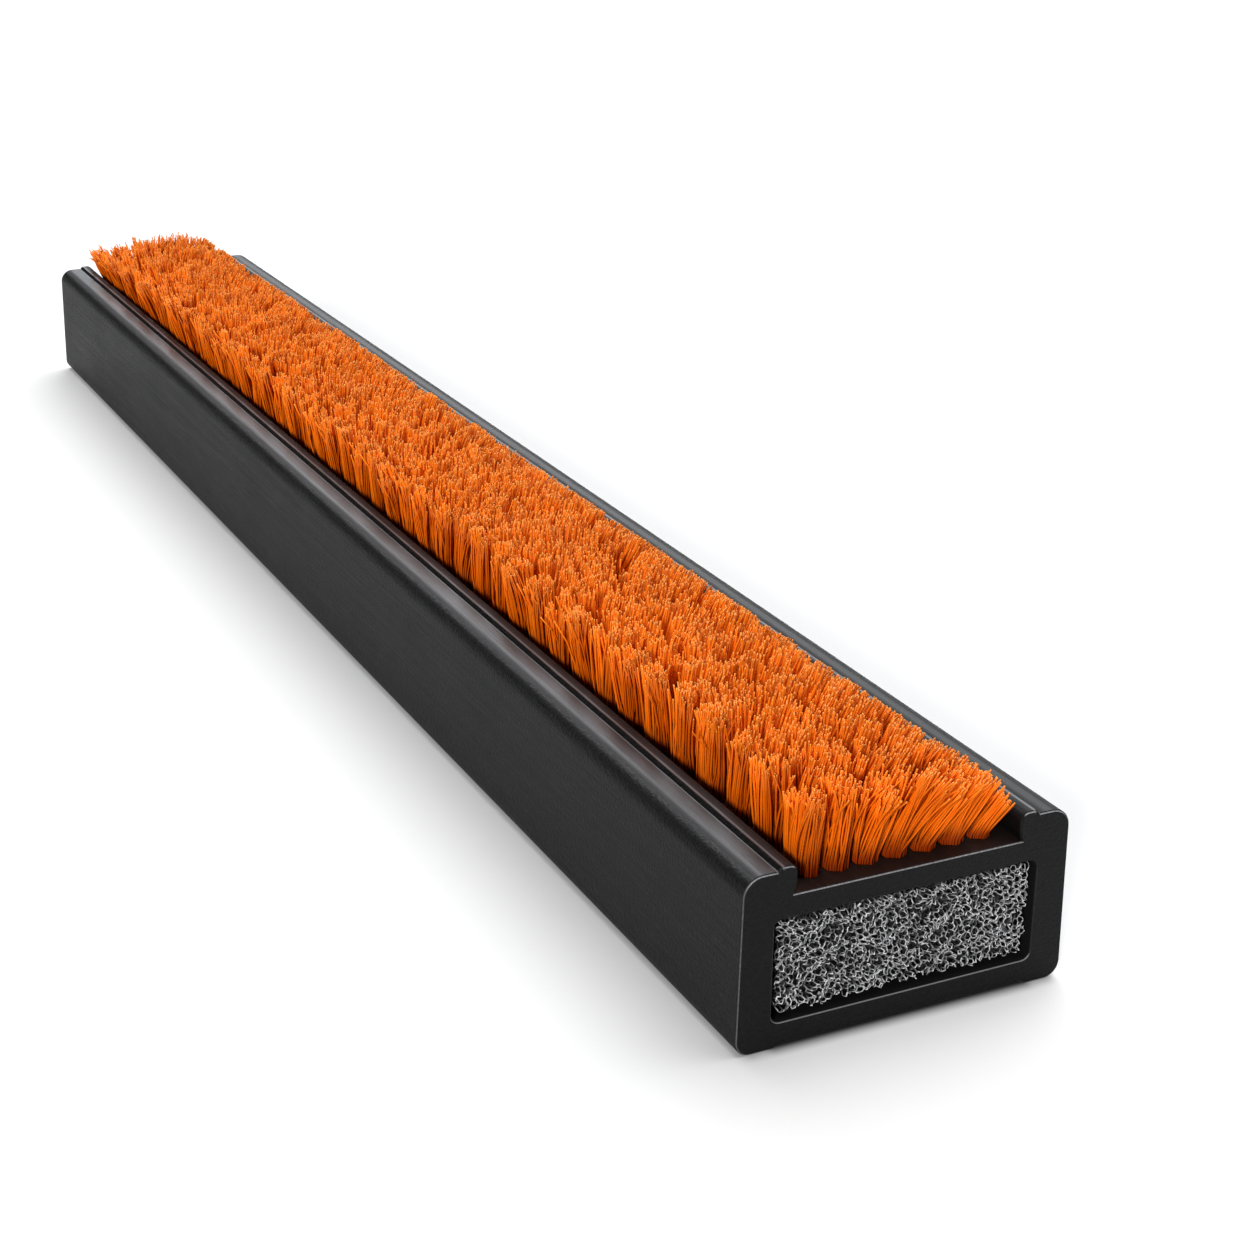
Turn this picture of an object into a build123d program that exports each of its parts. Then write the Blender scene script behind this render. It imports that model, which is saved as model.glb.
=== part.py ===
"""Brush seal strip: a black extruded carrier with a foam core in its box section
and rows of bristle tufts set in holes along the channel on its top.

X runs along the strip, Y across it and Z up from the feet. Millimetres.
"""

import os
from math import pi, tan

from build123d import *

# Carrier: an extrusion, sawn to length
strip_length = 300.0
base_width = 41.6  # across the feet, where it is widest
side_draft = 0.4  # how far each side leans in between foot and shoulder
base_radius = 1.9
shoulder_radius = 2.4
edge_break = 0.2  # on the sawn ends

# Heights of the section, stacked up from the feet
base_wall = 3.2
cavity_height = 12.3
web = 2.75  # between the cavity and the channel
channel_depth = 3.4

# Top of the section, from the side wall in to the channel
shoulder_width = 4.1
lip_rise = 0.45
lip_slope = 0.4
lip_width = 2.0
lip_radius = 1.0
undercut = 0.3  # the channel is this much wider, each side, at its floor
undercut_height = 1.1
undercut_radius = 2.0

# Underside: two feet with a shallow recess between them
foot_width = 4.6
recess_depth = 0.4
recess_slope = 0.9
recess_radius = 0.6

# Box cavity
side_wall = 4.35  # at the base
cavity_radius = 1.0

# Foam core, cut a little short of the cavity all round
foam_clearance = 0.3
foam_setback = 0.5  # from each sawn end

# Tufts: rows across the strip, in blind holes
row_pitch = 6.6
column_pitch = 3.6
end_land = 2.0  # least floor left between a sawn end and a hole
wall_land = 1.3  # least floor left between the channel wall and a hole
hole_length = 5.4  # along the strip
hole_width = 3.0
hole_depth = 2.0
tuft_clearance = 0.1  # round the tuft at the mouth of its hole
tuft_length = 9.75  # free bristle, above the channel floor
tip_gap = 0.35  # between the trimmed tips of neighbours, which fan out to meet

# Levels and widths that follow
cavity_top = base_wall + cavity_height
floor_height = cavity_top + web
lip_height = floor_height + channel_depth
shoulder_height = lip_height - lip_rise
cavity_width = base_width - 2 * side_wall
base_half = base_width / 2
shoulder_half = base_half - side_draft
riser_half = shoulder_half - shoulder_width
lip_half = riser_half - lip_slope
channel_half = lip_half - lip_width
foot_half = base_half - foot_width

# Rows and columns that fit the channel
row_span = strip_length - 2 * end_land - hole_length
column_span = 2 * channel_half - 2 * wall_land - hole_width
row_count = int(row_span / row_pitch) + 1
column_count = int(column_span / column_pitch) + 1
first_row = -row_pitch * (row_count - 1) / 2
hole_floor = floor_height - hole_depth

# Holes and tufts are oblong, with six sides and pointed along the strip
sides = 6
corner_angle = pi / 3


def tuft_outline(length, width):
    """A hexagon with even angles, as long and as wide as asked."""
    shoulder = length / 2 - width / 2 / tan(corner_angle)
    half = [(length / 2, 0), (shoulder, width / 2), (-shoulder, width / 2)]
    return half + [(-x, -y) for x, y in half]


# Half of the outline, from the middle of the underside round to the middle of the
# channel floor, with the radius of each corner between
half_outline = [
    ((0, recess_depth), None),
    ((foot_half - recess_slope, recess_depth), recess_radius),
    ((foot_half, 0), recess_radius),
    ((base_half, 0), base_radius),
    ((shoulder_half, shoulder_height), shoulder_radius),
    ((riser_half, shoulder_height), 0),
    ((lip_half, lip_height), 0),
    ((channel_half, lip_height), lip_radius),
    ((channel_half, floor_height + undercut_height), undercut_radius),
    ((channel_half + undercut, floor_height), 0),
    ((0, floor_height), None),
]

with BuildPart() as carrier:
    with BuildSketch(Plane.YZ):
        with BuildLine():
            FilletPolyline(
                *[point for point, radius in half_outline],
                radius=[radius for point, radius in half_outline[1:-1]],
            )
            mirror(about=Plane.YZ)
        make_face()
        with Locations((0, base_wall + cavity_height / 2)):
            RectangleRounded(cavity_width, cavity_height, cavity_radius, mode=Mode.SUBTRACT)
    extrude(amount=strip_length / 2, both=True)
    ends = carrier.faces().filter_by(Axis.X)
    chamfer(ends.edges(), length=edge_break)
    with BuildSketch(Plane.XY.offset(floor_height)):
        with GridLocations(row_pitch, column_pitch, row_count, column_count):
            Polygon(*tuft_outline(hole_length, hole_width), align=None)
    extrude(amount=-hole_depth, mode=Mode.SUBTRACT)

with BuildPart() as foam_core:
    with BuildSketch(Plane.YZ):
        with Locations((0, base_wall + cavity_height / 2)):
            RectangleRounded(
                cavity_width - 2 * foam_clearance,
                cavity_height - 2 * foam_clearance,
                cavity_radius - foam_clearance,
            )
    extrude(amount=strip_length / 2 - foam_setback, both=True)

os.makedirs("parts", exist_ok=True)
carrier.part.label = "carrier"
foam_core.part.label = "foam_core"
export_step(carrier.part, "parts/carrier.step")
export_step(foam_core.part, "parts/foam_core.step")

# One tuft. Each of its six flats leans out evenly from the bottom of the hole, past
# the mouth, to the trimmed tip, which is longer along the strip than across it.
tip_length = row_pitch - tip_gap
tip_width = column_pitch - tip_gap
mouth_length = hole_length - 2 * tuft_clearance
mouth_width = hole_width - 2 * tuft_clearance
below_mouth = hole_depth / tuft_length
root_length = mouth_length - (tip_length - mouth_length) * below_mouth
root_width = mouth_width - (tip_width - mouth_width) * below_mouth
root_outline = tuft_outline(root_length, root_width)
tip_outline = tuft_outline(tip_length, tip_width)
tuft_height = hole_depth + tuft_length

with BuildPart() as tuft:
    with BuildSketch(Plane.XY.offset(hole_floor)):
        Polygon(*tip_outline, align=None)
    extrude(amount=tuft_height)
    for corner in range(sides):
        start = Vector(*root_outline[corner], hole_floor)
        along = Vector(*root_outline[(corner + 1) % sides], hole_floor) - start
        up = Vector(*tip_outline[corner], hole_floor + tuft_height) - start
        flat = Plane(origin=start, x_dir=along, z_dir=along.cross(up))
        split(bisect_by=flat, keep=Keep.BOTTOM)

for row in range(row_count):
    name = f"tuft_row_{row + 1:02d}"
    with BuildPart() as tuft_row:
        with Locations((first_row + row * row_pitch, 0)):
            with GridLocations(row_pitch, column_pitch, 1, column_count):
                add(tuft.part)
    tuft_row.part.label = name
    export_step(tuft_row.part, f"parts/{name}.step")
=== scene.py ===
"""Looks of the brush seal strip: black extruded carrier, foam core, orange bristle tufts.

Metres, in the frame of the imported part: X along the strip, Y across it, Z up.
"""

import bpy
import numpy as np
from mathutils import Euler, Matrix, Vector


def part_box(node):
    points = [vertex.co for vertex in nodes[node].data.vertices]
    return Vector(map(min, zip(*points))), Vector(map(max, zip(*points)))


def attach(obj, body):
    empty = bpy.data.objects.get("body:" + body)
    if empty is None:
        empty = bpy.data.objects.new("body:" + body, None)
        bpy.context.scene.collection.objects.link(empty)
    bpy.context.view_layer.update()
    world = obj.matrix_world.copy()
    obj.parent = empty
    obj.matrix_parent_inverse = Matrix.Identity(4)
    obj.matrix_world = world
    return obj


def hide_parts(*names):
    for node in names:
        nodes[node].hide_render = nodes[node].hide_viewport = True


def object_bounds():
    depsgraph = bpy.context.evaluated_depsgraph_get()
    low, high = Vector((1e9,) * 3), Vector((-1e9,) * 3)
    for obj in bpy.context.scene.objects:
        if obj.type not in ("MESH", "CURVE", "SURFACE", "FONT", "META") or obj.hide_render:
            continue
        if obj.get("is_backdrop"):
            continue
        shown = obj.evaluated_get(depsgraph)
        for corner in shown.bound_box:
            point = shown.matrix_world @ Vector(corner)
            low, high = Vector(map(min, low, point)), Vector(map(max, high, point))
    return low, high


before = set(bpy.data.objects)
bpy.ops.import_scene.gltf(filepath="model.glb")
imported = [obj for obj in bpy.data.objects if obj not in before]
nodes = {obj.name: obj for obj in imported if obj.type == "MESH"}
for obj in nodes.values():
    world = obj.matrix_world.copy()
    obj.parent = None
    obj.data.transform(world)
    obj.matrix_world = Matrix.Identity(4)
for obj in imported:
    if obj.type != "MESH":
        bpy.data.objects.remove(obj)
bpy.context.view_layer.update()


# Carrier: PVC extruded to a box section with a lipped channel on top, sawn to length.
# The die leaves fine lines along it and the saw a matt face with a grey broken edge, painted paler as a
# highlight where it faces left or up.
# The tuft holes are drilled in the channel floor.
mm = 0.001
carrier = nodes["carrier"]
half_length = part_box("carrier")[1].x
cavity_half = 16.45 * mm
cavity_low = 3.2 * mm
cavity_high = 15.5 * mm
channel_half = 13.9 * mm
lip_half = 15.9 * mm
riser_half = 16.3 * mm
shoulder_height = 21.2 * mm
lip_height = 21.65 * mm


def put(tree, kind, inputs=(), **settings):
    """Adds a node, sets its properties, and gives each input a value or joins a socket to it."""
    node = tree.nodes.new("ShaderNode" + kind)
    for name, value in settings.items():
        setattr(node, name, value)
    for name, value in dict(inputs).items():
        if isinstance(value, bpy.types.NodeSocket):
            tree.links.new(value, node.inputs[name])
        else:
            node.inputs[name].default_value = value
    return node


def maths(tree, operation, *values, clamp=False):
    """One Math node: its output socket."""
    return put(tree, "Math", enumerate(values), operation=operation, use_clamp=clamp).outputs[0]


def product(tree, first, *others):
    """Masks and numbers multiplied together."""
    for other in others:
        first = maths(tree, "MULTIPLY", first, other)
    return first


def fade(tree, value, low, high, start=0.0, end=1.0):
    """Smooth step of a value: start up to low, end from high on."""
    node = put(tree, "MapRange", {"Value": value, "From Min": low, "From Max": high,
                                  "To Min": start, "To Max": end}, interpolation_type="SMOOTHSTEP")
    return node.outputs["Result"]


def between(tree, value, low, low_full, high_full, high):
    """Mask of a value: 0 up to low, 1 from low_full to high_full, 0 from high on."""
    return product(tree, fade(tree, value, low, low_full), fade(tree, value, high, high_full))


def axes(tree, vector):
    """The X, Y and Z sockets of a vector."""
    return put(tree, "SeparateXYZ", {0: vector}).outputs


def blend_colours(tree, share, first, second, way="MIX"):
    """Mixes two colours: the first at share 0, the second at share 1."""
    node = put(tree, "Mix", data_type="RGBA", blend_type=way)
    for socket, value in ((node.inputs[0], share), (node.inputs[6], first), (node.inputs[7], second)):
        if isinstance(value, bpy.types.NodeSocket):
            tree.links.new(value, socket)
        else:
            socket.default_value = value
    return node.outputs[2]


def new_group(name, inputs):
    """An empty shader node group with a Vector input, numbers by name and one Value output,
    with the sockets of its two end nodes."""
    group = bpy.data.node_groups.new(name, "ShaderNodeTree")
    group.interface.new_socket("Vector", in_out="INPUT", socket_type="NodeSocketVector")
    for label, default in inputs.items():
        socket = group.interface.new_socket(label, in_out="INPUT", socket_type="NodeSocketFloat")
        socket.default_value = default
    group.interface.new_socket("Value", in_out="OUTPUT", socket_type="NodeSocketFloat")
    return group, group.nodes.new("NodeGroupInput").outputs, group.nodes.new("NodeGroupOutput").inputs


def noise_mask(tree, vector, size, detail, roughness, contrast):
    """Noise of one size, its contrast raised about a half, held between 0 and 1."""
    per_size = maths(tree, "DIVIDE", 1.0, size)
    noise = put(tree, "TexNoise", {"Vector": vector, "Scale": per_size, "Detail": detail,
                                   "Roughness": roughness})
    centred = maths(tree, "SUBTRACT", noise.outputs[0], 0.5)
    return maths(tree, "MULTIPLY_ADD", centred, contrast, 0.5, clamp=True)


def new_material(name):
    """A material with its Principled shader, its node tree and the Object coordinates."""
    material = bpy.data.materials.new(name)
    material.use_nodes = True
    tree = material.node_tree
    coordinates = tree.nodes.new("ShaderNodeTexCoord")
    return material, tree, tree.nodes["Principled BSDF"], coordinates


def use_group(tree, group, vector, **values):
    """A shader node group placed in a material: its output socket."""
    return put(tree, "Group", {"Vector": vector, **values}, node_tree=group).outputs[0]


# Fine even grain: noise at the size asked
grain_group, given, result = new_group(
    "moulded_grain", {"Size": 0.5 * mm, "Detail": 3.0, "Contrast": 1.0})
grain = noise_mask(grain_group, given["Vector"], given["Size"], given["Detail"], 0.6, given["Contrast"])
grain_group.links.new(grain, result["Value"])

# Lines drawn along X: noise stretched many times along the strip
lines_group, given, result = new_group(
    "drawn_lines", {"Width": 0.3 * mm, "Stretch": 0.01, "Contrast": 2.0})
squeeze = put(lines_group, "CombineXYZ", {0: given["Stretch"], 1: 1.0, 2: 1.0})
drawn = put(lines_group, "VectorMath", {0: given["Vector"], 1: squeeze.outputs[0]},
            operation="MULTIPLY")
lines = noise_mask(lines_group, drawn.outputs[0], given["Width"], 4.0, 0.65, given["Contrast"])
lines_group.links.new(lines, result["Value"])

# Masks of the carrier's places
material, tree, shader, coordinates = new_material("carrier_black")
place = coordinates.outputs["Object"]
facing_x, facing_y, facing_z = axes(tree, coordinates.outputs["Normal"])
at_x, at_y, at_z = axes(tree, place)
across = maths(tree, "ABSOLUTE", at_y)
from_middle = maths(tree, "ABSOLUTE", at_x)
sawn = fade(tree, maths(tree, "ABSOLUTE", facing_x), 0.9, 0.97)
by_end = fade(tree, from_middle, half_length - 0.14 * mm, half_length - 0.08 * mm)
broken = product(tree, by_end, maths(tree, "SUBTRACT", 1.0, sawn))
upward = fade(tree, facing_z, 0.75, 0.97)
on_top = product(tree, upward, fade(tree, at_z, 19.5 * mm, 20.5 * mm))
in_channel = product(tree, fade(tree, across, channel_half + 0.9 * mm, channel_half - 0.1 * mm),
                     fade(tree, at_z, cavity_high + 0.3 * mm, cavity_high + 0.7 * mm))
in_cavity = product(tree, fade(tree, across, cavity_half + 0.30 * mm, cavity_half + 0.25 * mm),
                    between(tree, at_z, cavity_low - 0.30 * mm, cavity_low - 0.25 * mm,
                            cavity_high + 0.25 * mm, cavity_high + 0.30 * mm))
cavity_wall = product(tree, in_cavity,
                      maths(tree, "SUBTRACT", 1.0, maths(tree, "MAXIMUM", sawn, broken)))
channel_wall = product(tree, fade(tree, maths(tree, "ABSOLUTE", facing_y), 0.3, 0.6),
                       fade(tree, across, channel_half + 1.1 * mm, channel_half + 0.7 * mm))
slanting = product(tree, between(tree, facing_z, 0.05, 0.25, 0.6, 0.8),
                   maths(tree, "SUBTRACT", 0.8, broken))
lip_top = product(tree, fade(tree, across, lip_half - 0.2 * mm, lip_half - 0.7 * mm),
                  fade(tree, at_z, shoulder_height - 0.7 * mm, shoulder_height))

# The riser between shoulder and lip is painted dark as shade, with painted highlight lines at its foot and
# its top
by_riser = fade(tree, at_z, shoulder_height - 0.4 * mm, shoulder_height - 0.1 * mm)
riser = product(tree, between(tree, across, lip_half - 0.14 * mm, lip_half - 0.06 * mm,
                              riser_half, riser_half + 0.06 * mm), by_riser)
riser_foot = product(tree, between(tree, across, riser_half - 0.04 * mm, riser_half + 0.01 * mm,
                                   riser_half + 0.06 * mm, riser_half + 0.15 * mm), by_riser)
riser_top = product(tree, between(tree, across, lip_half - 0.50 * mm, lip_half - 0.22 * mm,
                                  lip_half - 0.18 * mm, lip_half - 0.10 * mm),
                    fade(tree, at_z, lip_height - 0.45 * mm, lip_height - 0.15 * mm))
riser_highlights = product(tree, maths(tree, "MAXIMUM", riser_foot, riser_top), 0.8)

# Patterns of the extruded skin
streaks = use_group(tree, lines_group, place, Width=0.30 * mm, Stretch=0.012, Contrast=2.6)
wide_streaks = use_group(tree, lines_group, place, Width=1.4 * mm, Stretch=0.02, Contrast=2.0)
scratches = use_group(tree, lines_group, place, Width=0.32 * mm, Stretch=0.07, Contrast=3.0)
pebble = use_group(tree, grain_group, place, Size=0.42 * mm, Detail=5.0, Contrast=2.6)
clouds = use_group(tree, grain_group, place, Size=12 * mm, Detail=3.0, Contrast=1.5)

# Colours: the break at a sawn end is grey, painted paler as a highlight where it faces left
# or up, and the cavity's rim is painted paler as a highlight where it faces right or up
saw_black = blend_colours(tree, pebble, (0.0022, 0.0022, 0.0023, 1), (0.0095, 0.0095, 0.0098, 1))
edge_grey = (0.055, 0.055, 0.057, 1)
rim_grey = (0.012, 0.012, 0.012, 1)
for mask, highlight_grey in ((fade(tree, facing_y, -0.3, -0.6), (0.11, 0.11, 0.113, 1)),
                    (fade(tree, facing_z, 0.2, 0.65), (0.30, 0.30, 0.31, 1))):
    edge_grey = blend_colours(tree, mask, edge_grey, highlight_grey)
for mask, highlight_grey in ((fade(tree, facing_y, 0.2, 0.5), (0.10, 0.10, 0.10, 1)),
                    (fade(tree, facing_z, 0.2, 0.5), (0.16, 0.16, 0.165, 1))):
    rim_grey = blend_colours(tree, mask, rim_grey, highlight_grey)
worn_grey = blend_colours(tree, 0.6, edge_grey, (0.02, 0.02, 0.02, 1))
edge_grey = blend_colours(tree, pebble, edge_grey, worn_grey)
edge_grey = blend_colours(tree, in_cavity, edge_grey, rim_grey)
black = (0.0042, 0.0043, 0.0046, 1)
for mask, colour in ((clouds, (0.0062, 0.0064, 0.0068, 1)),
                     (product(tree, pebble, 0.5), (0.0115, 0.0115, 0.012, 1)),
                     # painted reflection of the orange bristles: the channel is tinted reddish brown
                     (in_channel, (0.008, 0.0040, 0.0028, 1)),
                     (product(tree, fade(tree, scratches, 0.72, 0.95), 0.55), (0.019, 0.019, 0.0195, 1)),
                     (sawn, saw_black),
                     (broken, edge_grey),
                     # painted shade on the channel's inner walls
                     (channel_wall, (0.002, 0.0012, 0.001, 1)),
                     # painted shade on the shoulders' rounded edges, which turn away from the light
                     (slanting, (0.0012, 0.0012, 0.0013, 1)),
                     # painted shade on the cavity's walls
                     (cavity_wall, (0.0008, 0.0008, 0.0008, 1)),
                     # painted shade on the riser
                     (riser, (0.0012, 0.0012, 0.0013, 1)),
                     # painted highlight lines at the riser's foot and top
                     (riser_highlights, (0.13, 0.13, 0.135, 1))):
    black = blend_colours(tree, mask, black, colour)
tree.links.new(black, shader.inputs["Base Color"])

# Roughness: satin where the die drew it, matt where it was sawn
satin = 0.38
for mask, change in ((streaks, 0.10), (clouds, 0.06), (on_top, -0.10), (in_channel, 0.14),
                     (lip_top, 0.28), (cavity_wall, 0.45)):
    satin = maths(tree, "MULTIPLY_ADD", mask, change, satin)
matt = maths(tree, "MULTIPLY_ADD", pebble, 0.16, 0.48)
roughness = put(tree, "Mix", {0: sawn, 2: satin, 3: matt}, data_type="FLOAT").outputs[0]
tree.links.new(roughness, shader.inputs["Roughness"])
shader.inputs["Specular IOR Level"].default_value = 0.2

# Bump: die lines and grain, fainter on faces that look up
height = maths(tree, "MULTIPLY_ADD", wide_streaks, 0.35, product(tree, streaks, 0.45))
grain_depth = maths(tree, "MULTIPLY_ADD", upward, -4.4, maths(tree, "MULTIPLY_ADD", sawn, 0.6, 4.6))
height = maths(tree, "ADD", height, product(tree, pebble, grain_depth))
height = product(tree, height, maths(tree, "MULTIPLY_ADD", upward, -0.6, 1.0))

# Bump stands for slight curves too. The shoulders fall away outwards from the riser and the
# lips inwards, as the square of the distance, and the right shoulder stands higher in its
# first millimetre
shoulder_fall = 0.5e6
lip_fall = 6.5e6
right_rise = 9.0
from_riser = maths(tree, "MAXIMUM", maths(tree, "SUBTRACT", across, riser_half), 0.0)
from_lip_edge = maths(tree, "MAXIMUM", maths(tree, "SUBTRACT", lip_half, across), 0.0)
from_lip_edge = maths(tree, "MINIMUM", from_lip_edge, 1.8 * mm)
fall = product(tree, product(tree, from_riser, from_riser), shoulder_fall)
fall = maths(tree, "MULTIPLY_ADD", product(tree, from_lip_edge, from_lip_edge), lip_fall, fall)
rise = maths(tree, "MAXIMUM", maths(tree, "MULTIPLY_ADD", from_riser, -1 / (1.0 * mm), 1.0), 0.0)
rise = product(tree, product(tree, rise, rise), maths(tree, "GREATER_THAN", at_y, 0.0))
fall = maths(tree, "MULTIPLY_ADD", rise, -right_rise, fall)
height = maths(tree, "SUBTRACT", height, product(tree, fall, upward))
bump = put(tree, "Bump", {"Height": height, "Strength": 0.35, "Distance": 0.06 * mm})
tree.links.new(bump.outputs[0], shader.inputs["Normal"])
carrier.data.materials.clear()
carrier.data.materials.append(material)


# Foam core: reticulated open-cell foam, cut with a knife and pushed into the box
# cavity. At each end its struts are modelled a few cells deep, on a block of the same
# foam that runs through the strip.
foam_low, foam_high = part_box("foam_core")
foam_half = foam_high.x
foam_middle = (foam_low.z + foam_high.z) / 2
foam_half_z = (foam_high.z - foam_low.z) / 2
cell = 0.95 * mm
cell_depth = 1.5 * mm
strut_radius = 0.068 * mm
lattice_turn = (0.42, 0.13)  # radians about X and Y, so that no row of cells shows
wave_count = 14
wave_push = 0.085  # of a cell
corner_shift = 0.10  # of a cell, at most
longest_strut = 0.8  # of a cell
skin = 0.2 * mm  # left free between the struts and the core's sides
lost_struts = 0.06
foam_dice = np.random.default_rng(41)


def mesh_piece(name, points, faces, material, **fields):
    """A mesh from an (n, 3) array of points and (m, k) array of corners, with a number at
    each point for every field."""
    mesh = bpy.data.meshes.new(name)
    corners = faces.shape[1]
    mesh.vertices.add(len(points))
    mesh.loops.add(faces.size)
    mesh.polygons.add(len(faces))
    mesh.vertices.foreach_set("co", points.astype(np.float32).ravel())
    mesh.loops.foreach_set("vertex_index", faces.astype(np.int32).ravel())
    mesh.polygons.foreach_set("loop_start", np.arange(0, faces.size, corners, dtype=np.int32))
    mesh.update(calc_edges=True)
    mesh.shade_smooth()
    for label, numbers in fields.items():
        field = mesh.attributes.new(label, "FLOAT", "POINT")
        field.data.foreach_set("value", numbers.astype(np.float32).ravel())
    mesh.validate()
    piece = bpy.data.objects.new(name, mesh)
    bpy.context.scene.collection.objects.link(piece)
    piece.data.materials.append(material)
    return piece


def unit(vectors):
    """Vectors at length one."""
    return vectors / (np.linalg.norm(vectors, axis=-1, keepdims=True) + 1e-12)


def foam_struts(face_x, inward):
    """End points of the struts of a foam whose cells fill a slab behind the plane x = face_x.

    Corners of a body-centred lattice of fourteen-sided cells: in quarters of the cell one
    coordinate is 0 mod 4, one 2 mod 4 and one odd, and two corners are joined when they
    differ by one quarter along two axes. The lattice is turned off the axes, bent by slow
    waves and every corner is moved at random."""
    quarter = cell / 4
    reach = np.array([cell_depth * 3, 21 * mm, 21 * mm])
    count = (2 * reach / quarter).astype(int)
    grid = np.stack(np.meshgrid(*[np.arange(size) for size in count], indexing="ij"), -1)
    rest = grid % 4
    is_corner = ((rest == 0).sum(-1) == 1) & ((rest == 2).sum(-1) == 1)
    number = np.where(is_corner, np.cumsum(is_corner).reshape(is_corner.shape) - 1, -1)
    corners = (grid[is_corner] - count / 2) * quarter
    pairs = []
    for step in ((1, 1, 0), (1, -1, 0), (1, 0, 1), (1, 0, -1), (0, 1, 1), (0, 1, -1)):
        ahead = np.roll(number, [-move for move in step], (0, 1, 2))
        both = (number >= 0) & (ahead >= 0)
        pairs.append(np.stack([number[both], ahead[both]], -1))
    pairs = np.concatenate(pairs)
    turn = Matrix.Rotation(lattice_turn[0], 3, "X") @ Matrix.Rotation(lattice_turn[1], 3, "Y")
    turn = np.array(turn)
    corners = corners @ turn.T
    direction = foam_dice.normal(0, 1, (wave_count, 3))
    direction /= np.linalg.norm(direction, axis=1)[:, None]
    push = foam_dice.normal(0, wave_push, (wave_count, 3)) * cell
    wavelength = foam_dice.uniform(1.7, 3.6, wave_count) * mm
    phase = corners @ direction.T * 2 * np.pi / wavelength + foam_dice.uniform(0, 6.28, wave_count)
    corners = corners + np.sin(phase) @ push
    corners = corners + foam_dice.uniform(-corner_shift, corner_shift, corners.shape) * cell
    corners[:, 0] += face_x + inward * cell_depth * 0.5
    corners[:, 2] += foam_middle
    start, stop = corners[pairs[:, 0]], corners[pairs[:, 1]]
    depth = inward * (np.stack([start[:, 0], stop[:, 0]]) - face_x)
    half_y = foam_high.y - skin
    half_z = foam_half_z - skin
    inside = (np.abs(corners[:, 1]) < half_y) & (np.abs(corners[:, 2] - foam_middle) < half_z)
    within = (np.linalg.norm(start - stop, axis=1) < longest_strut * cell)
    within &= (depth.max(0) > 0.02 * mm) & (depth.min(0) < cell_depth)
    within &= foam_dice.random(len(start)) > lost_struts
    for trimming in range(8):
        within &= inside[pairs[:, 0]] & inside[pairs[:, 1]]
        joined = np.bincount(pairs[within].ravel(), minlength=len(corners))
        inside &= joined > 1
    start, stop, depth = start[within], stop[within], depth[:, within]
    length_share = np.clip(-depth / (depth[::-1] - depth + 1e-12), 0, 1)
    cut_start = start + (stop - start) * np.where(depth[0] < 0, length_share[0], 0)[:, None]
    cut_stop = stop + (start - stop) * np.where(depth[1] < 0, length_share[1], 0)[:, None]
    return cut_start, cut_stop


def strut_mesh(start, stop):
    """Three-sided closed prisms: each corner is the end point plus the strut's radius times
    two directions square to its line, at thirds of a turn."""
    line = unit(stop - start)
    side = unit(np.cross(line, [0.31, 0.52, 0.79]))
    other = np.cross(line, side)
    angle = np.arange(3) * 2 * np.pi / 3
    ring = side[:, None] * np.cos(angle)[:, None] + other[:, None] * np.sin(angle)[:, None]
    radius = strut_radius * foam_dice.uniform(0.8, 1.2, (len(start), 1, 1))
    points = np.stack([start[:, None] + ring * radius, stop[:, None] + ring * radius], 1)
    first = np.arange(len(start))[:, None, None] * 6
    pattern = np.array([(0, 1, 4), (0, 4, 3), (1, 2, 5), (1, 5, 4), (2, 0, 3), (2, 3, 5),
                        (0, 2, 1), (3, 4, 5)])
    tone = np.repeat(foam_dice.random(len(start)), 6)
    return points.reshape(-1, 3), (first + pattern).reshape(-1, 3), tone


# Struts are dark to pale grey by their tone, and fade to black with depth as painted shade
foam_grey, tree, shader, coordinates = new_material("foam_grey")
depth_in = put(tree, "Attribute", attribute_name="depth").outputs["Fac"]
strut_tone = put(tree, "Attribute", attribute_name="tone").outputs["Fac"]
speckle = use_group(tree, grain_group, coordinates.outputs["Object"], Size=0.6 * mm, Detail=2.0,
                    Contrast=2.0)
grey = blend_colours(tree, strut_tone, (0.20, 0.20, 0.205, 1), (0.95, 0.95, 0.96, 1))
grey = blend_colours(tree, fade(tree, depth_in, 0.0, 0.5), grey, (0.02, 0.02, 0.021, 1))
tree.links.new(grey, shader.inputs["Base Color"])
tree.links.new(maths(tree, "MULTIPLY_ADD", speckle, 0.2, 0.45), shader.inputs["Roughness"])

foam_pieces = []
for label, face_x, inward in (("near", foam_half, -1), ("far", -foam_half, 1)):
    points, faces, tone = strut_mesh(*foam_struts(face_x, inward))
    depth = inward * (points[:, 0] - face_x) / cell_depth
    foam_pieces.append(mesh_piece(f"foam_cells_{label}", points, faces, foam_grey, depth=depth, tone=tone))

# Behind the struts the cells are in the material alone: pale walls round dark pores, all painted dark as
# the shade deep in the foam
foam_deep, tree, shader, coordinates = new_material("foam_deep")
pores = put(tree, "TexVoronoi", {"Vector": coordinates.outputs["Object"], "Scale": 1 / cell,
                                 "Randomness": 1.0}, feature="DISTANCE_TO_EDGE")
pore = fade(tree, pores.outputs["Distance"], 0.04, 0.16)
dark = blend_colours(tree, pore, (0.06, 0.06, 0.062, 1), (0.006, 0.006, 0.006, 1))
tree.links.new(dark, shader.inputs["Base Color"])
shader.inputs["Roughness"].default_value = 0.9
shader.inputs["Specular IOR Level"].default_value = 0.1


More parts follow.
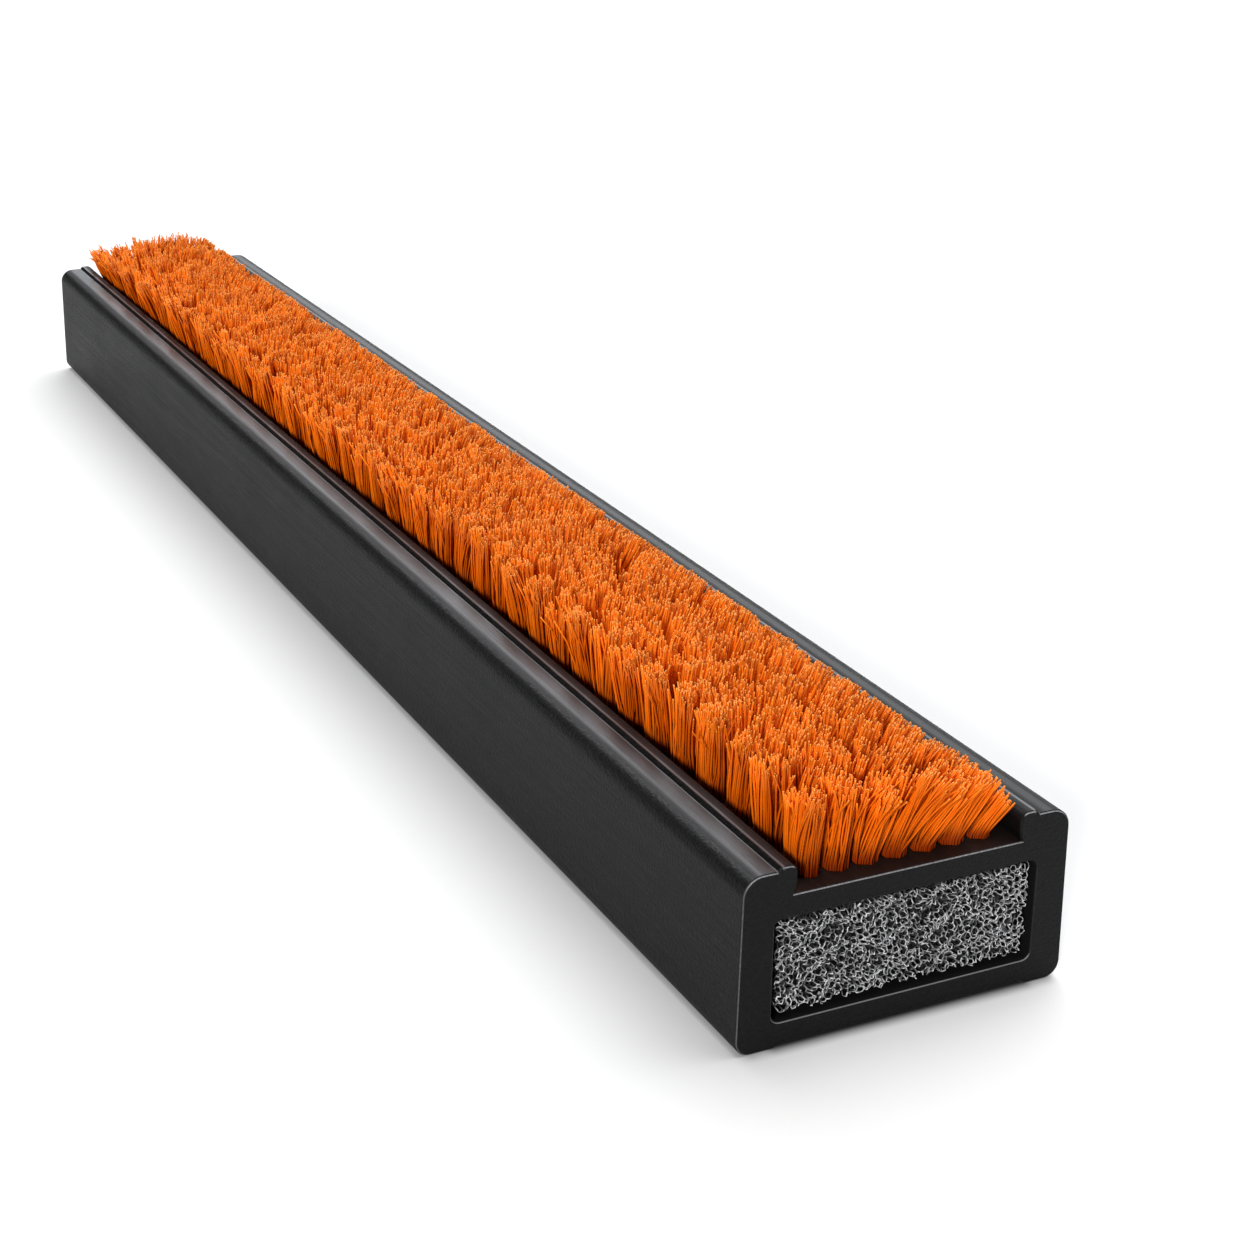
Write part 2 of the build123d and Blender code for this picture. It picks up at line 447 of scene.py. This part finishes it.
def foam_block():
    """A rounded rectangle carried along X: the cosine and sine of the turn, each to a small
    power, times the half sizes, moved in by a few slow waves. A fan of triangles about one
    middle point closes each end."""
    x = np.linspace(-1, 1, 60) * (foam_half - 0.85 * cell_depth)
    turn = np.linspace(0, 2 * np.pi, 96, endpoint=False) + 0.01
    half_y = foam_high.y - 0.25 * mm
    half_z = foam_half_z - 0.25 * mm
    power = 0.16
    wave_depth = 0.004
    y = half_y * np.sign(np.cos(turn)) * np.abs(np.cos(turn)) ** power
    z = half_z * np.sign(np.sin(turn)) * np.abs(np.sin(turn)) ** power
    wave = np.sin(x[:, None] * 2100 + turn * 7) * np.sin(x[:, None] * 1300 - turn * 5)
    wave = 1 - wave_depth * (1 + wave)
    points = np.stack([np.broadcast_to(x[:, None], wave.shape), y * wave, foam_middle + z * wave], -1)
    points = np.concatenate([points.reshape(-1, 3), [(x[0], 0, foam_middle), (x[-1], 0, foam_middle)]])
    rings, around = wave.shape
    step = np.arange(around)
    ahead = (step + 1) % around
    here = (np.arange(rings - 1)[:, None] * around + step).ravel()
    beside = (np.arange(rings - 1)[:, None] * around + ahead).ravel()
    last = (rings - 1) * around
    start_cap = np.stack([0 * step + rings * around, ahead, step], -1)
    stop_cap = np.stack([0 * step + rings * around + 1, last + step, last + ahead], -1)
    faces = np.concatenate([np.stack([here, beside, beside + around], -1),
                            np.stack([here, beside + around, here + around], -1),
                            start_cap, stop_cap])
    return points, faces


points, faces = foam_block()
foam_pieces.append(mesh_piece("foam_block", points, faces, foam_deep))
for piece in foam_pieces:
    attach(piece, "root")
    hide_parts("foam_core")


# Tufts: bundles of nylon filament fused or glued into the holes, then trimmed. They fan
# out from hole to tip, meet their neighbours, and lean out over the right lip.
rows = sorted(name for name in nodes if name.startswith("tuft_row"))
rows_per_piece = 5
outer_column = 10.8 * mm
columns_y = np.array([-10.8, -7.2, -3.6, 0.0, 3.6, 7.2, 10.8]) * mm
floor_z = 18.25 * mm
hole_z = 16.3 * mm
hole_half = np.array([2.44, 1.33]) * mm
hole_slant = 1.732  # of the slanted sides of the hole
row_step = 0.866  # between the rows of a lattice of equal triangles
tip_half = np.array([3.05, 2.4]) * mm
left_fan = [0.86, 0.75]
middle_fan = [1.14, 1.0]
right_fan = [1.04, 0.85]
column_share = np.linspace(-1, 1, 7)
column_lean = [-2, 4, 8, 12, 18, 26, 33]  # degrees to the right
column_length = [9.5, 9.2, 9.1, 9.0, 9.0, 8.7, 8.3]  # millimetres
clumps = 5
clump_pull = 0.42
stray_share = 0.22
near_start = 130 * mm
near_span = 15 * mm
end_lean = 14.4  # degrees, outwards at both ends of the strip
end_reach = 9 * mm
shortest = 6.5 * mm
longest = 10.4 * mm
usual_length = 9.5 * mm
trim_slope = 1.15
trim_level = 39.7  # millimetres, of y plus trim_slope times z
near_trim = 1.2  # millimetres higher at the near end

# Spreads of what is left to chance, each a standard deviation
root_spread = 0.12  # of the spacing
tip_spread = 0.3 * mm
stray_spread = 0.8 * mm
lean_spread = 3.2  # degrees across the strip
sway_spread = 4.5  # degrees along it
tuft_spread = 0.4 * mm  # of length, from tuft to tuft
clump_spread = 0.55 * mm  # of length, from clump to clump
filament_spread = 0.55 * mm  # of length, from filament to filament
trim_spread = 0.5 * mm
tuft_trim_spread = 0.8 * mm
bow_spread = 0.24 * mm
bristle_dice = np.random.default_rng(7)


def hole_points(spacing):
    """Filament centres that fill an oblong six-sided hole: a lattice of equal triangles, kept
    where a point lies inside the two flats and the four slanted sides at 60 degrees."""
    column, row = np.meshgrid(np.arange(-30, 31), np.arange(-20, 21), indexing="ij")
    x = (column + 0.5 * (row % 2)) * spacing
    y = row * spacing * row_step
    slant = np.abs(x) + np.abs(y) / hole_slant
    inside = (np.abs(y) <= hole_half[1]) & (slant <= hole_half[0])
    return np.stack([x[inside], y[inside]], -1)


def nearness(row_x):
    """0 along the strip, 1 for the rows at its near end."""
    return np.clip((row_x - near_start) / near_span, 0, 1)


def filament_lines(row_x, columns, spacing, bends):
    """Middle lines of the filaments of the tufts of some columns of one row.

    A filament's root is a point in the hole and its tip a point of the rectangle that the
    tuft fans out to, drawn towards the nearest of five clump centres. Its line at a level,
    from 0 at the channel floor to 1 at the tip, is the root, plus tip minus root times the
    level to a power, plus the tuft's lean times the level to a power, plus its own bow. A
    trimming plane over the right lip shortens it."""
    count = len(columns)
    to_far = 1 - (row_x + half_length) / (2 * half_length)
    root = hole_points(spacing)
    filaments = len(root)
    root = root + bristle_dice.normal(0, root_spread, (count, filaments, 2)) * spacing
    stretch = hole_half[0] - np.abs(root[..., 1]) / hole_slant
    share = np.stack([np.clip(root[..., 0] / stretch, -1.1, 1.1), root[..., 1] / hole_half[1]], -1)
    tip = share * tip_half + bristle_dice.normal(0, tip_spread, share.shape)
    clump = bristle_dice.uniform(-1, 1, (count, clumps, 2)) * tip_half
    away = np.linalg.norm(tip[:, :, None] - clump[:, None], axis=-1)
    nearest = away.argmin(-1)
    own = np.take_along_axis(clump, nearest[..., None], 1)
    tip = tip + (own - tip) * clump_pull
    left = (columns < -10 * mm)[:, None]
    right = (columns > 10 * mm)[:, None]
    tip *= np.where(left[..., None], left_fan, np.where(right[..., None], right_fan, middle_fan))
    root[..., 0] *= np.where(left, 0.92, 1.0)
    stray = bristle_dice.random((count, filaments, 1)) < stray_share
    stray = stray * bristle_dice.normal(0, stray_spread, tip.shape)
    stray[..., 0] *= np.where(left, 0.5, 1.0)

    # Lean and length change from left to right, and towards the far end
    share_y = columns / outer_column
    left_share = np.clip(-share_y, 0, 1)
    uneven = (2.2 + share_y) / 3.2
    lean_y = np.interp(share_y, column_share, column_lean)
    lean_y = lean_y - left_share * (14.0 * to_far ** 3 + 8.0 * to_far ** 30)
    lean_y = np.radians(lean_y + bristle_dice.normal(0, lean_spread, count))
    outward = end_lean * np.exp(-(half_length - abs(row_x)) / end_reach) * np.sign(row_x)
    lean_x = np.radians(outward + bristle_dice.normal(0, sway_spread, count) * uneven * 1.3)
    length = np.interp(share_y, column_share, column_length) * mm
    length = length + bristle_dice.normal(0, tuft_spread, count) * uneven
    length = length * (1 - 0.10 * to_far ** 4 - 0.22 * left_share * to_far ** 12)
    clump_rise = bristle_dice.normal(0, clump_spread, clump.shape[:2])
    own_rise = np.take_along_axis(clump_rise, nearest, 1)
    length = length[:, None] + own_rise
    length = length + bristle_dice.normal(0, filament_spread, (count, filaments))
    length = length + 0.5 * mm * (0.5 - share[..., 0] ** 2) * (1.3 - share_y[:, None]) / 2.3
    length = np.clip(length, shortest, longest)
    sway_x = length * np.sin(lean_x)[:, None]
    sway_y = length * np.sin(lean_y)[:, None]
    climb = length * (np.cos(lean_y) * np.cos(lean_x))[:, None]

    # The trimming plane, ragged from tuft to tuft and filament to filament
    end_y = columns[:, None] + tip[..., 1] + stray[..., 1] + sway_y
    end_z = floor_z + climb
    ragged = bristle_dice.normal(0, trim_spread, (count, filaments))
    ragged = ragged + bristle_dice.normal(-0.5 * mm, tuft_trim_spread, (count, 1))
    ragged = np.clip(ragged + own_rise * 1.2, -3.0 * mm, 0.6 * mm)
    over = end_y + trim_slope * end_z - (trim_level + near_trim * nearness(row_x)) * mm - ragged
    per_share = 1.25 * (end_y - columns[:, None] - root[..., 1]) + trim_slope * (end_z - floor_z)
    trim = 1 - np.clip(over / per_share, 0, 0.5)

    below = (hole_z - floor_z) / usual_length
    level = np.concatenate([[below], np.linspace(0.06, 1.0, bends)])
    level = np.where(level > 0, level * trim[..., None], level)
    rise = np.clip(level, 0, None)
    bow = bristle_dice.normal(0, bow_spread, (count, filaments, 2))
    fan = np.stack([rise ** 1.3, rise ** 1.05], -1)
    curve = rise ** 1.2
    flat = root[:, :, None] + (tip - root)[:, :, None] * fan
    flat = flat + bow[:, :, None] * np.sin(np.pi * rise)[..., None]
    flat = flat + stray[:, :, None] * rise[..., None] ** 3
    line = np.zeros((count, filaments, bends + 1, 3))
    line[..., 0] = row_x + flat[..., 0] + sway_x[..., None] * curve
    line[..., 1] = columns[:, None, None] + flat[..., 1] + sway_y[..., None] * curve
    line[..., 2] = floor_z + climb[..., None] * level
    line[..., 0, 2] = hole_z
    return line.reshape(-1, bends + 1, 3), rise.reshape(-1, bends + 1), trim.reshape(-1, 1), share


def filament_tubes(line, rise, radius, sides):
    """Closed tubes: the line's points plus the radius times two directions square to the line.
    The radius falls by an eighth towards the tip."""
    tangent = np.gradient(line, axis=1)
    tangent /= np.linalg.norm(tangent, axis=-1, keepdims=True)
    side = np.cross([0.0, 1.0, 0.0], tangent)
    side /= np.linalg.norm(side, axis=-1, keepdims=True)
    other = np.cross(tangent, side)
    turn = bristle_dice.uniform(0, 6.28, (len(line), 1, 1, 1))
    turn = turn + (np.arange(sides) * 2 * np.pi / sides)[:, None]
    ring = side[:, :, None] * np.cos(turn) + other[:, :, None] * np.sin(turn)
    taper = 1 - 0.13 * rise[:, :, None, None] ** 2
    points = line[:, :, None] + ring * radius * taper
    tubes, rings = line.shape[:2]
    first = np.arange(tubes)[:, None, None] * rings * sides
    here = (np.arange(rings - 1)[:, None] * sides + np.arange(sides)).ravel()
    beside = (np.arange(rings - 1)[:, None] * sides + (np.arange(sides) + 1) % sides).ravel()
    fans = np.arange(1, sides - 1)
    top = rings * sides - sides
    pattern = np.concatenate([np.stack([here, beside, beside + sides], -1),
                              np.stack([here, beside + sides, here + sides], -1),
                              np.stack([0 * fans, fans + 1, fans], -1),
                              np.stack([0 * fans + top, fans + top, fans + 1 + top], -1)])
    return points.reshape(-1, 3), (first + pattern).reshape(-1, 3)


def tufts(row_x, columns, spacing, radius, bends, sides):
    """The filaments of some columns of one row as closed tubes, with two numbers at each point:
    its share of the whole filament's height, and the filament's tone, a random number that is
    lowered as painted shade on the near side of the left tufts, where each meets the next, and
    raised as painted light on the outer left column and on the near rows."""
    line, rise, trim, share = filament_lines(row_x, columns, spacing, bends)
    points, faces = filament_tubes(line, rise, radius, sides)
    shape = (len(line), bends + 1, sides)
    along = np.broadcast_to((rise / trim)[:, :, None], shape)
    count, filaments = share.shape[:2]
    left_share = np.clip(-columns / outer_column, 0, 1)[:, None] ** 3
    tone = bristle_dice.random((count, filaments)) * 0.65 + bristle_dice.random((count, 1)) * 0.35
    crevice_shade = np.clip(share[..., 0] * 0.9 + 0.1, -0.25, 1) * left_share
    # Painted shade lowers the tone where the left tufts meet; painted light raises it on the outer left
    # column and the near rows
    tone = np.clip(tone - crevice_shade * 0.8 + 0.30 * left_share + 0.16 * nearness(row_x), 0, 1.15)
    tone = np.broadcast_to(tone.reshape(-1, 1, 1), shape)
    return points, faces, along.ravel(), tone.ravel()


# Orange deepens to the root as painted shade and lightens to the tip as a painted highlight, with a painted
# highlight on the cut end where it faces up
bristle_orange, tree, shader, coordinates = new_material("bristle_orange")
along = put(tree, "Attribute", attribute_name="along").outputs["Fac"]
tone = put(tree, "Attribute", attribute_name="tone").outputs["Fac"]
facing_up = axes(tree, coordinates.outputs["Normal"])[2]
orange = blend_colours(tree, fade(tree, along, 0.0, 0.45), (0.29, 0.031, 0.001, 1), (0.92, 0.172, 0.002, 1))
orange = blend_colours(tree, fade(tree, along, 0.72, 1.0), orange, (1.0, 0.235, 0.010, 1))
# The tone darkens the orange at random, and carries the painted shade and painted light set in the tufts
darker = blend_colours(tree, 0.75, orange, (0.50, 0.36, 0.3, 1), "MULTIPLY")
orange = blend_colours(tree, tone, darker, orange)
cut_highlight = product(tree, fade(tree, along, 0.97, 0.995), fade(tree, facing_up, 0.6, 0.85))
orange = blend_colours(tree, cut_highlight, orange, (1.0, 0.42, 0.10, 1))
tree.links.new(orange, shader.inputs["Base Color"])
tree.links.new(maths(tree, "MULTIPLY_ADD", tone, 0.15, 0.36), shader.inputs["Roughness"])
shader.inputs["Specular IOR Level"].default_value = 0.12

# The near row has the finest filaments and the most of them. In most other rows the outer
# left column, which shows from the side, is finer than the rest, and the far half is coarser
for first_row in range(0, len(rows), rows_per_piece):
    names = rows[first_row:first_row + rows_per_piece]
    parts, total = [], 0
    for name in names:
        low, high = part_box(name)
        row_x = (low.x + high.x) / 2
        if name == rows[-1]:
            made = [tufts(row_x, columns_y, spacing=0.285 * mm, radius=0.125 * mm, bends=7, sides=4)]
        elif name in (rows[0], rows[-2]):
            made = [tufts(row_x, columns_y, spacing=0.32 * mm, radius=0.135 * mm, bends=5, sides=3)]
        else:
            coarse = 1.0 if row_x > 0 else 1.12
            side = dict(spacing=0.29 * mm * coarse, radius=0.128 * mm * coarse, bends=4, sides=3)
            inner = dict(spacing=0.37 * mm * coarse, radius=0.145 * mm * coarse, bends=3, sides=3)
            made = [tufts(row_x, columns_y[:1], **side), tufts(row_x, columns_y[1:-1], **inner),
                    tufts(row_x, columns_y[-1:], **inner)]
        for points, faces, along_row, tone_row in made:
            parts.append((points, faces + total, along_row, tone_row))
            total += len(points)
    points, faces, along_all, tone_all = (np.concatenate(part) for part in zip(*parts))
    piece = mesh_piece(f"bristles_{first_row + 1:02d}_{first_row + len(names):02d}", points, faces,
                       bristle_orange, along=along_all, tone=tone_all)
    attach(piece, "root")
    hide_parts(*names)


# Floor: a seamless white sweep, which keeps the strip's soft shadow. For the light it bounces,
# it is painted darker near the strip and on its left than further to the right, as painted
# shade, and a contact shadow is painted dark under the strip and a little past its ends.
floor_size = 3.0
camera_white = (0.88, 0.88, 0.88, 1)
near_grey = (0.53, 0.53, 0.53, 1)  # what the strip sees of the floor beside it
points = np.array([(-1, -1, 0), (1, -1, 0), (1, 1, 0), (-1, 1, 0)]) * floor_size
material, tree, shader, coordinates = new_material("floor_white")
path = put(tree, "LightPath")
floor_x, floor_y = axes(tree, coordinates.outputs["Object"])[:2]
# Painted shade: for rays other than the camera's the floor is darker near the strip and on its left
bounce = blend_colours(tree, fade(tree, floor_y, 0.03, 0.3), near_grey, camera_white)
white = blend_colours(tree, path.outputs["Is Camera Ray"], bounce, camera_white)
floor_across = maths(tree, "ABSOLUTE", floor_y)
floor_along = maths(tree, "ABSOLUTE", floor_x)
# Painted contact shadow under the strip and a little past its ends
contact_shadow = product(tree, fade(tree, floor_across, 20.6 * mm, 18.6 * mm),
                  fade(tree, floor_across, 17.4 * mm, 15.8 * mm, 0.55, 1.0),
                  fade(tree, floor_along, half_length + 1.8 * mm, half_length - 0.8 * mm))
white = blend_colours(tree, contact_shadow, white, (0.02, 0.02, 0.02, 1))
tree.links.new(white, shader.inputs["Base Color"])
shader.inputs["Roughness"].default_value = 1.0
shader.inputs["Specular IOR Level"].default_value = 0.0
floor = mesh_piece("floor", points, np.array([[0, 1, 2, 3]]), material)
floor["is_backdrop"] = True

# World: bright overhead and dark low down, white where the camera sees it. A panel beyond
# the far end, cut off on a slant, gives the highlights along the shoulders and lips.
light_middle = (-0.27, 0.37, 0.89)  # towards the middle of the light overhead
world = bpy.data.worlds.new("studio")
bpy.context.scene.world = world
world.use_nodes = True
tree = world.node_tree
tree.nodes.clear()
path = put(tree, "LightPath")
seen = put(tree, "TexCoord").outputs["Generated"]
seen_x, seen_y, seen_z = axes(tree, seen)
off_top = put(tree, "VectorMath", {0: seen, 1: light_middle}, operation="DOT_PRODUCT")
overhead = fade(tree, off_top.outputs["Value"], 0.62, 0.92)
surround = blend_colours(tree, overhead, (0.03, 0.03, 0.03, 1), (2.55, 2.55, 2.55, 1))
towards_far = maths(tree, "MAXIMUM", 0.001, maths(tree, "MULTIPLY", seen_x, -1.0))
sideways = maths(tree, "DIVIDE", seen_y, towards_far)
slanted = maths(tree, "MULTIPLY_ADD", seen_z, -0.8, sideways)
steeper = maths(tree, "MULTIPLY_ADD", seen_z, -1.76, sideways)
panel = product(tree, fade(tree, slanted, -0.31, -0.11), fade(tree, seen_x, 0.0, -0.3),
                fade(tree, seen_z, 0.12, 0.50), fade(tree, steeper, -0.22, -0.10, 1.0, 0.15),
                fade(tree, seen_z, 0.72, 0.62))
surround = blend_colours(tree, panel, surround, (6.2, 6.4, 6.7, 1))
surround = blend_colours(tree, path.outputs["Is Camera Ray"], surround, (1, 1, 1, 1))
background = put(tree, "Background", {"Color": surround, "Strength": 1.0})
out = put(tree, "OutputWorld")
tree.links.new(background.outputs[0], out.inputs["Surface"])

# Key light: one soft distant lamp, low from the near left, which lights the side, the
# near end and the bristles and throws the shadow to the right
from_lamp = Vector((0.66, -0.66, 0.36))
lamp = bpy.data.lights.new("key", "SUN")
lamp.angle = np.radians(11)
lamp.energy = 2.9
holder = bpy.data.objects.new("key", lamp)
bpy.context.scene.collection.objects.link(holder)
holder.matrix_world = from_lamp.to_track_quat("Z", "Y").to_matrix().to_4x4()

# Camera: fitted to the near end's edges and the strip's long edges. It stands above the
# near left corner and looks down the strip. Angles are in degrees.
camera_data = bpy.data.cameras.new("camera")
camera = bpy.data.objects.new("camera", camera_data)
bpy.context.scene.collection.objects.link(camera)
camera_data.sensor_width = 36.0
camera_data.lens = 65.788
camera_data.clip_start = 0.01
camera_place = Matrix.Translation((0.33095, -0.12327, 0.13159))
tilt, roll, heading = 68.288199, -0.650663, 64.008166
turned = Euler(np.radians((tilt, roll, heading)).tolist()).to_matrix().to_4x4()
camera.matrix_world = camera_place @ turned
bpy.context.scene.camera = camera
bpy.context.scene.view_settings.view_transform = "Standard"

low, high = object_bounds()
